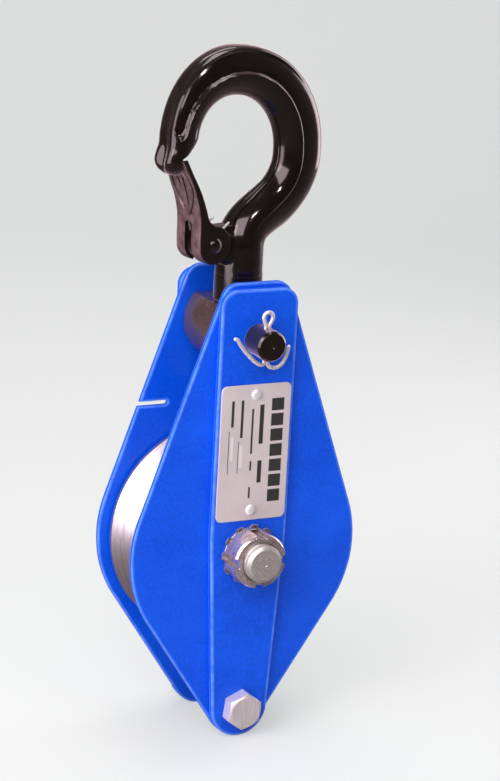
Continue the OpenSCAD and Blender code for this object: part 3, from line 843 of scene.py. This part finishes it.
# its squareness, the ridge between bowl side and flat side, and the flat side's hollow and outer rim
SQUARE = [2.0, 2.0, 2.2, 2.5, 2.7, 2.7, 2.7, 2.6, 2.4, 2.3]
RIDGE = [0.2, 0.2, 0.16, 0.12, 0.09, 0.09, -0.02, -0.2, -0.25, -0.25]
HOLLOW = [0.0, 0.0, 0.3, 0.6, 0.8, 0.8, 2.2, 2.8, 0.0, 0.0]
RIM = [0.0, 0.0, 0.0, 0.0, 0.0, 0.0, 1.0, 1.0, 1.0, 1.0]
# how far the bowl side falls away from the ridge, as a share of the depth
SLOPE = [0.0, 0.0, 0.2, 0.4, 0.46, 0.46, 0.36, 0.26, 0.14, 0.1]
# corner of the notch that takes the latch end (x, z)
NOTCH = (-47.35, 206.9)


def smoothstep(t):
    t = np.clip(t, 0, 1)
    return t * t * (3 - 2 * t)


def hook_path(step=0.85):
    """Points (x, z, heading) and their place along the runs."""
    x, z, h = 0.0, BASE_Z, 90.0
    pts, at = [], []
    for k, (length, turn) in enumerate(RUNS):
        n = max(2, int(length / step))
        sweep = abs(math.radians(turn))
        for i in range(n + 1):
            t = i / n
            c = 2 * length / sweep * math.sin(sweep * t / 2) if turn else length * t
            a = math.radians(h + turn * t / 2)
            if i < n or k == len(RUNS) - 1:
                pts.append((x + c * math.cos(a), z + c * math.sin(a), h + turn * t))
                at.append(k + t)
        x, z, h = x + c * math.cos(a), z + c * math.sin(a), h + turn
    return np.array(pts), np.array(at)


def station(values, at):
    """The tabled values eased between the ends of the runs, as a column."""
    k = np.minimum(at.astype(int), len(values) - 2)
    v = np.array(values)
    return (v[k] + (v[k + 1] - v[k]) * smoothstep(at - k))[:, None]


def section(m, flat=52, side=28):
    """Rings of (u, v) on the curve |u|^m + |v|^m = 1, evenly spread on its four sides."""
    corner = 0.5 ** (1 / m)
    f = (np.arange(flat) / flat * 2 - 1)[None, :] * corner
    g = (np.arange(side) / side * 2 - 1)[None, :] * corner
    bow = lambda w: (1 - np.abs(w) ** m) ** (1 / m)
    u = np.concatenate([f, bow(g), -f, -bow(g)], 1)
    v = np.concatenate([-bow(f), g, bow(f), -g], 1)
    return u, v


def ring_mesh(x, y, z):
    """Vertices and faces of a bar from grids of coordinates, one row to a ring."""
    rows, n = x.shape
    return np.stack([x.ravel(), y.ravel(), z.ravel()], 1), bar_faces(rows, n)


def round_bar(prof, k=64, axis="z", x=0.0, z=0.0):
    """Solid of revolution from (radius, place) pairs along Z, or along Y through (x, z)."""
    t = np.linspace(0, 2 * math.pi, k, endpoint=False)
    r = np.array([p[0] for p in prof])[:, None]
    place = np.array([p[1] for p in prof])[:, None] + 0 * t[None, :]
    c, s = r * np.cos(t), r * np.sin(t)
    return ring_mesh(c, s, place) if axis == "z" else ring_mesh(x + c, place, z + s)


def hook_skin():
    """The forged bow from its neck to its nose, swept along the path."""
    pts, at = hook_path()
    run = np.concatenate([[0], np.cumsum(np.hypot(*np.diff(pts[:, :2], axis=0).T))])[:, None]
    total = float(run[-1, 0])
    inner, outer, depth = (station(t, at) for t in (INNER, OUTER, DEPTH))
    square, ridge, hollow, rim, slope = (station(t, at) for t in (SQUARE, RIDGE, HOLLOW, RIM, SLOPE))
    u, v = section(square)
    across = np.where(u > 0, inner, outer) * u
    # bowl side falls away from the ridge
    q = np.clip((u - ridge) / (1 - ridge), 0, 1)
    y = depth * v * (1 - slope * (0.55 * q + 0.45 * q ** 2.6))
    # flat side sits a little below the ridge, inside a thin outer rim, and ends in a curve by the nose
    on_side = smoothstep((np.abs(v) - 0.35) / 0.3)
    inner_wall = smoothstep((ridge - u) / 0.1)
    outer_wall = 1 - rim * (1 - smoothstep((u + 0.9) / 0.14))
    curve = 5.5 * ((u - ridge + 0.36) / 0.36) ** 2 * rim
    end_wall = smoothstep((total - 17.5 - curve - run) / 4.0)
    y = y - np.sign(y) * hollow * inner_wall * outer_wall * end_wall * on_side
    # groove down the outside of the nose, which leaves two lobes
    nose = smoothstep((run - (total - 52.0)) / 30.0)
    deep = 1.1 + 2.0 * smoothstep((run - (total - 16.0)) / 10.0)
    across = across + deep * nose * np.exp(-(y / 3.3) ** 2) * (u < -0.2)
    # rounded over at the very end
    over = np.clip((run - (total - 6.0)) / 6.0, 0, 1)
    shrink = np.sqrt(np.maximum(1 - (0.985 * over) ** 2, 0))
    across = across * shrink
    y = y * (0.2 + 0.8 * shrink)
    # slow unevenness of a forging
    a = np.arange(u.shape[1])[None, :] * 2 * math.pi / u.shape[1]
    y = y * (1 + 0.0013 * np.sin(run * 0.33 + a * 3) + 0.001 * np.sin(run * 0.81 + a * 5 + 1.3))
    x, z, heading = pts[:, 0][:, None], pts[:, 1][:, None], np.radians(pts[:, 2])[:, None]
    return ring_mesh(x - across * np.sin(heading), y, z + across * np.cos(heading))


def hook():
    verts, faces = hook_skin()
    ob = piece("visual_hook", swing(verts), faces, BLACK, "hook", ("hook",), "hook_finish", sharp=70)
    # notch for the latch end
    x, z = NOTCH
    notch = rounded([(x, z), (x + 24, z + 11.7), (x + 24, z - 18), (x + 10.08, z - 18)], [1.6, 0, 0, 0], 6)
    cut(ob, tool(*prism(notch, -20, 20, True)))
    # latch lug and the boss at its root
    r = 7.8
    lug = arc(PIVOT_X, PIVOT_Z, r, 90, 270, 6) + [(-2, PIVOT_Z - r), (2, PIVOT_Z + r)]
    cut(ob, tool(*prism(lug, -4.4, 4.4, True)), "UNION")
    rim = [(5.6, 7.8), (6.6, 7.65), (7.5, 7.1), (8.1, 5.9)]
    boss = [(q, -y) for q, y in rim] + rim[::-1]
    verts, faces = round_bar(boss, 56, "y", PIVOT_X + 11.8, PIVOT_Z - 4.2)
    cut(ob, tool(swing(verts), faces), "UNION")
    # collar and shank, down through the yoke
    seat, end = float(box("yoke")[1][2]) + 0.2, float(box("hook")[0][2])
    shank = [(0.01, end), (9.0, end), (10.0, end + 1.0), (10.0, seat), (12.0, seat), (12.5, seat + 0.5)]
    shank += [(12.5, seat + 14), (0.01, seat + 14)]
    cut(ob, tool(*round_bar(shank, 96)), "UNION")
    ob.data.shade_smooth()
    ob.data.set_sharp_from_angle(angle=math.radians(44))


hook()


# ---------------------------------------------------------------- latch
LATCH_FRONT = [(-10, 3), (-10.2, 13.5), (-12.2, 22.5), (-16.3, 33), (-22.9, 44.8)]
LATCH_REAR = [(-19.4, 45.1), (-15.5, 38), (-10, 28.5), (-6, 19.1), (-3.8, 13.2), (0.5, 9.9)]


def latch():
    half, t, ear = 10.0, 1.8, 10.0

    def at(p):
        return (PIVOT_X + p[0], PIVOT_Z + p[1])

    front = [tuple(p) for p in smooth_path([(-9.6, -3)] + LATCH_FRONT, 6)[6:]]
    rear = [tuple(p) for p in smooth_path(LATCH_REAR, 6)]
    join = smooth_path([rear[-3], rear[-1], (3.4, 9.4), (6.5, 7.6)], 4)[5:8]
    outline = [at(p) for p in front + rear + join] + arc(PIVOT_X, PIVOT_Z, ear, 66, -164, 6)
    loop = turned(clean(outline), True)
    levels = bevel_levels(-half, half, 0.9, seg=4, margin=0.25)
    n, rows = len(loop), len(levels)
    verts = [(x, y, z) for d, y, _ in levels for x, z in inset(loop, d)]
    faces = walls(rows, n) + caps([(0, inset(loop, levels[0][0]))])
    faces += caps([((rows - 1) * n, inset(loop, levels[-1][0]))])
    ob = piece("visual_latch", swing(verts), faces, LATCH, "latch", ("latch",), "latch_finish", sharp=40)
    # hollow the channel, leaving the web, its curled foot and two flanges
    inner = [(x + t * 1.08, z) for x, z in front]
    foot = arc(0, 0, 8.2, 242, 176, 6)
    inner = [(-3.4, -14)] + foot + inner + [(-21.0, 48.6), (40, 60), (40, -14)]
    cut(ob, tool(*prism([at(p) for p in inner], -half + t, half - t, True)))
    cut(ob, tool(*prism(arc(PIVOT_X, PIVOT_Z, 2.6, 0, 360, 10), -half - 2, half + 2, True)))
    # long slot from the middle of the web down through its foot
    slot = rounded([(-2.8, -16), (2.8, -16), (2.8, 12), (-2.8, 12)], [0, 0, 1.8, 1.8], 5)
    verts = [(PIVOT_X + x, y, PIVOT_Z + z) for x in (-16, -2) for y, z in slot]
    cut(ob, tool(swing(verts), bar_faces(2, len(slot))))
    ob.data.shade_smooth()
    ob.data.set_sharp_from_angle(angle=math.radians(35))
    # pressed ribs: two leaf shaped rims on the face of the web
    leaf = [(1.2, 16.5), (2.6, 19), (5.6, 24), (7.4, 29), (7.0, 34)]
    leaf += [(4.6, 38.5), (2.2, 34.5), (1.4, 29), (1.0, 24), (0.9, 19)]
    fz, fx = np.array([p[1] for p in front]), np.array([p[0] for p in front])
    for tag, s in (("front", -1), ("rear", 1)):
        path = smooth_path([(s * y, z) for y, z in leaf + leaf[:2]], 6)[:-1]
        pts = [(PIVOT_X + float(np.interp(z, fz, fx)) + 0.2, y, PIVOT_Z + z) for y, z in path]
        v, f = tube(swing(pts), 1.35, 16)
        piece("visual_latch_rib_" + tag, v, f, LATCH, "latch", slot="latch_finish", sharp=60)


latch()


def latch_spring():
    """Coils on the pin either side of the lug; one leg turns with the web, the other rests on the neck."""
    coil, lug, pitch = 3.5, 5.15, 1.15
    web_leg = [(-coil, lug, -0.3), (-3.9, lug, 3.0), (-5.4, 5.2, 8.0), (-7.2, 5.3, 15.0)]
    for tag, s in (("front", -1), ("rear", 1)):
        at = lambda x, y, z: (PIVOT_X + x, s * y, PIVOT_Z + z)
        pts = [at(-coil, lug, 0.4)]
        for q in np.arange(180, 180 + 2.0 * 360 - 80, 15):
            a = math.radians(q)
            pts.append(at(coil * math.cos(a), lug + (q - 180) / 360 * pitch, coil * math.sin(a)))
        pts += [at(6.0, 7.1, 7.2), at(10.5, 6.6, 10.3)]
        v, f = tube(swing(smooth_path(pts, 3)), 0.62, 12)
        piece("visual_latch_spring_" + tag, v, f, WIRE, "hook", ("latch_spring",), "spring_steel", sharp=60)
        v, f = tube(swing(smooth_path([at(*p) for p in web_leg], 5)), 0.6, 12)
        piece("visual_latch_spring_leg_" + tag, v, f, WIRE, "latch", slot="spring_steel", sharp=60)


latch_spring()


# ---------------------------------------------------------------- bottom bolt and nuts
def hex_loop(across_flats, turn, per=10):
    """A hexagon about the origin, turned by degrees, with points along its sides."""
    r = across_flats / 2 / math.cos(math.radians(30))
    angles = [math.radians(60 * k + turn) for k in range(7)]
    c = [np.array((r * math.cos(a), r * math.sin(a))) for a in angles]
    return np.array([a + (b - a) * i / per for a, b in zip(c, c[1:]) for i in range(per)])


def hexagon(name, node, y0, y1, both, turn, bore=None):
    """A hexagon on the bottom bolt with a coned face at y0, and at y1 when both are coned."""
    across_flats = 18
    base = hex_loop(across_flats, turn)
    q = np.linalg.norm(base, axis=1)
    step = 1 if y1 > y0 else -1

    def ring(limit):
        return (base * np.minimum(1, limit / q)[:, None]) + np.array([0, BOLT_Z])

    r = across_flats / 2
    first = [(ring(r - 1.1), y0), (ring(r - 0.8), y0), (ring(r - 0.74), y0 + 0.05 * step)]
    first += [(ring(r + d), y0 + 0.7 * (d + 0.74) * step) for d in (-0.5, -0.1, 0.3, 0.7, 1.1, 1.5)]
    last = [(ring(r + 9), y1)]
    if both:
        last = [(p, y0 + y1 - y) for p, y in reversed(first)]
    levels = first + [(ring(r + 9), y0 + 1.7 * step)] + last
    if step < 0:
        levels = levels[::-1]
    stack(name, levels, BOLT, "side_frame", (node,), "bolt_metal",
          hole=(0, BOLT_Z, bore, 0.7) if bore else None, sharp=24)


def bottom_bolt():
    lo, hi = box("bottom_bolt")
    face, end = lo[1], hi[1]
    strap_front = STRAP_F[0][1]
    nut_in, nut_out = box("bottom_nut")[0][1], box("bottom_nut")[1][1]
    hexagon("visual_bolt_head", "bottom_bolt", face, strap_front, False, 23)
    hexagon("visual_bolt_nut", "bottom_nut", nut_out, nut_in, True, 21, 6.02)
    prof = [(0, strap_front + 0.2), (6, strap_front + 0.2), (6, nut_out + 0.2)]
    y = nut_out + 0.6
    while y < end - 1.2:
        prof += [(6, y), (5.5, y + 0.4), (6, y + 0.8)]
        y += 1.0
    prof += [(5.0, end), (0, end)]
    lathe("visual_bolt_shank", prof, BOLT, "side_frame", slot="bolt_metal", z0=BOLT_Z, n=72)


bottom_bolt()


def nameplate():
    lo, hi = box("nameplate")
    corners = [(lo[0], lo[2]), (hi[0], lo[2]), (hi[0], hi[2]), (lo[0], hi[2])]
    slab("visual_nameplate", [rounded(corners, 3.0, 6)], lo[1], hi[1], 0.2, PLATE, "side_frame",
         ("nameplate",), "nameplate_metal")
    face = lo[1]
    dome = [(0, face - 1.4), (1.2, face - 1.33), (2.2, face - 1.0), (2.75, face - 0.55), (3.0, face - 0.1)]
    stem = [(3.0, face + 0.1), (1.6, face + 0.1), (1.6, face + 3), (0, face + 3)]
    for k, z in enumerate((hi[2] - 5.5, lo[2] + 5.5)):
        lathe("visual_rivet_%d" % k, dome + stem, RIVET, "side_frame", ("nameplate_rivets",), "rivet_metal",
              z0=z, n=48, sharp=50)


nameplate()

# ---------------------------------------------------------------- CAD nodes that show as they are
PLAIN = {"sheave_bush": BRONZE, "sheave_thrust_washers": BRONZE, "hook_thrust_washer": STEEL,
         "hook_nut": STEEL, "hook_nut_pin": WIRE, "latch_pin": BLACK, "bottom_spacer": TUBE,
         "bottom_washer": BOLT}
for node, mat in PLAIN.items():
    slots = frame["nodes"][node].data.materials
    slots.clear()
    slots.append(mat)


# ---------------------------------------------------------------- stage, light, camera
VIEW_AZ, VIEW_EL, VIEW_ROLL = (math.radians(v) for v in (-26.5, 15.8, 3.07))
LENS, AWAY, TARGET = 121.2292, 1.376, Vector((0.0103, 0, 0.079))
WORLD_LOW, WORLD_HIGH = 0.10, 0.55
WHITE, WARM = (1.0, 0.98, 0.97), (1.0, 0.93, 0.95)
# name, place, aim, width and height, power, colour
LIGHTS = (
    ("key", (-0.80, -0.95, 1.00), (0, 0, 0.06), (1.25, 0.85), 17.5, WARM),
    ("spark", (0.15, -1.10, 1.10), (0, 0, 0.1), (0.16, 0.10), 2.5, WHITE),
    ("left", (-0.88, -0.25, 0.40), (0, 0, 0.40), (0.75, 0.96), 10.5, WARM),
    ("right", (0.86, 0.22, 0.43), (0, 0, 0.43), (0.42, 0.92), 4.2, WARM),
    ("top", (0.1, 0.1, 1.35), (0, 0, 0.0), (0.8, 0.6), 7.0, WHITE),
    ("back", (0.2, 0.9, 1.3), (0.4, 1.5, 0.1), (0.9, 0.5), 6.0, WHITE),
)


def backdrop_finish():
    """Evenly bright to the eye, dim to mirror rays, and clear from behind."""
    m = Nodes("backdrop")
    ray = m.t.nodes.new("ShaderNodeLightPath").outputs
    pale = m.mix(m.noise(3.0, 2), (0.66, 0.675, 0.67), (0.69, 0.705, 0.70))
    shown = m.mix(ray["Is Camera Ray"], pale, (0.33, 0.34, 0.335))
    m.put("Base Color", m.mix(ray["Is Glossy Ray"], shown, (0.11, 0.10, 0.095)))
    m.put("Emission Color", (0.97, 1.0, 0.99, 1))
    m.put("Emission Strength", m.mul(ray["Is Camera Ray"], 0.42))
    m.put("Roughness", 0.8)
    m.put("Specular IOR Level", 0.1)
    blend = m.t.nodes.new("ShaderNodeMixShader")
    clear = m.t.nodes.new("ShaderNodeBsdfTransparent")
    behind = m.t.nodes.new("ShaderNodeNewGeometry").outputs["Backfacing"]
    m.t.links.new(behind, blend.inputs[0])
    m.t.links.new(m.p.outputs[0], blend.inputs[1])
    m.t.links.new(clear.outputs[0], blend.inputs[2])
    m.t.links.new(blend.outputs[0], m.t.nodes["Material Output"].inputs["Surface"])
    return m.mat


def backdrop():
    """A floor that curves up into a wall behind the object, square to the view."""
    reach, cove, bend, height = 6.0, 1.2, 0.8, 4.0
    curve = [math.radians(a) for a in range(10, 91, 10)]
    prof = [(-reach, 0.0), (cove, 0.0)]
    prof += [(cove + bend * math.sin(a), bend - bend * math.cos(a)) for a in curve]
    prof += [(cove + bend, height)]
    verts = [(x, y, CAD_LO[2] + z) for x in (-reach, reach) for y, z in prof]
    n = len(prof)
    me = bpy.data.meshes.new("backdrop")
    me.from_pydata(verts, [], [(n + i, n + i + 1, i + 1, i) for i in range(n - 1)])
    me.shade_smooth()
    me.materials.append(backdrop_finish())
    ob = bpy.data.objects.new("backdrop", me)
    bpy.context.scene.collection.objects.link(ob)
    ob.rotation_euler = (0, 0, VIEW_AZ)


def world():
    """Pale sky, brighter above and to one side, and dimmer in reflections."""
    sky = bpy.data.worlds.new("studio")
    bpy.context.scene.world = sky
    w = Nodes("studio", sky)
    x, y, z = w.split()
    high = w.math("MULTIPLY_ADD", z, 0.8, 0.35, clamp=True)
    side = w.math("MULTIPLY_ADD", w.sub(w.mul(y, 0.75), w.mul(x, 0.66)), 0.5, 0.42, clamp=True)
    w.put("Color", w.mix(high, (0.80, 0.82, 0.90), (1.0, 0.97, 0.97)))
    ray = w.t.nodes.new("ShaderNodeLightPath").outputs
    even = w.math("MULTIPLY_ADD", w.mul(high, side), WORLD_HIGH, WORLD_LOW)
    dimmed = w.mul(even, w.sub(1.0, w.mul(ray["Is Glossy Ray"], 0.5)))
    w.put("Strength", w.add(dimmed, w.mul(ray["Is Camera Ray"], 0.4)))


def lights():
    """Softboxes that the camera doesn't see."""
    for name, place, aim, size, power, tint in LIGHTS:
        li = bpy.data.lights.new(name, "AREA")
        li.shape = "RECTANGLE"
        li.size, li.size_y = size
        li.energy = power
        li.color = tint
        ob = bpy.data.objects.new(name, li)
        ob.location = place
        ob.rotation_mode = "QUATERNION"
        ob.rotation_quaternion = (Vector(aim) - Vector(place)).to_track_quat("-Z", "Y")
        ob.visible_camera = False
        bpy.context.scene.collection.objects.link(ob)


def camera():
    az, el, roll = VIEW_AZ, VIEW_EL, VIEW_ROLL
    back = Vector((math.sin(az) * math.cos(el), -math.cos(az) * math.cos(el), math.sin(el)))
    level = Vector((math.cos(az), math.sin(az), 0))
    upright = back.cross(level)
    right = level * math.cos(roll) + upright * math.sin(roll)
    up = upright * math.cos(roll) - level * math.sin(roll)
    cam = bpy.data.cameras.new("camera")
    cam.sensor_width = 36
    cam.lens = LENS
    cam.clip_start, cam.clip_end = 0.05, 30
    ob = bpy.data.objects.new("camera", cam)
    ob.matrix_world = Matrix((right, up, back)).transposed().to_4x4()
    ob.location = TARGET + back * AWAY
    bpy.context.scene.collection.objects.link(ob)
    bpy.context.scene.camera = ob


backdrop()
world()
lights()
camera()
bpy.context.scene.view_settings.view_transform = "Standard"
bpy.context.scene.view_settings.look = "None"
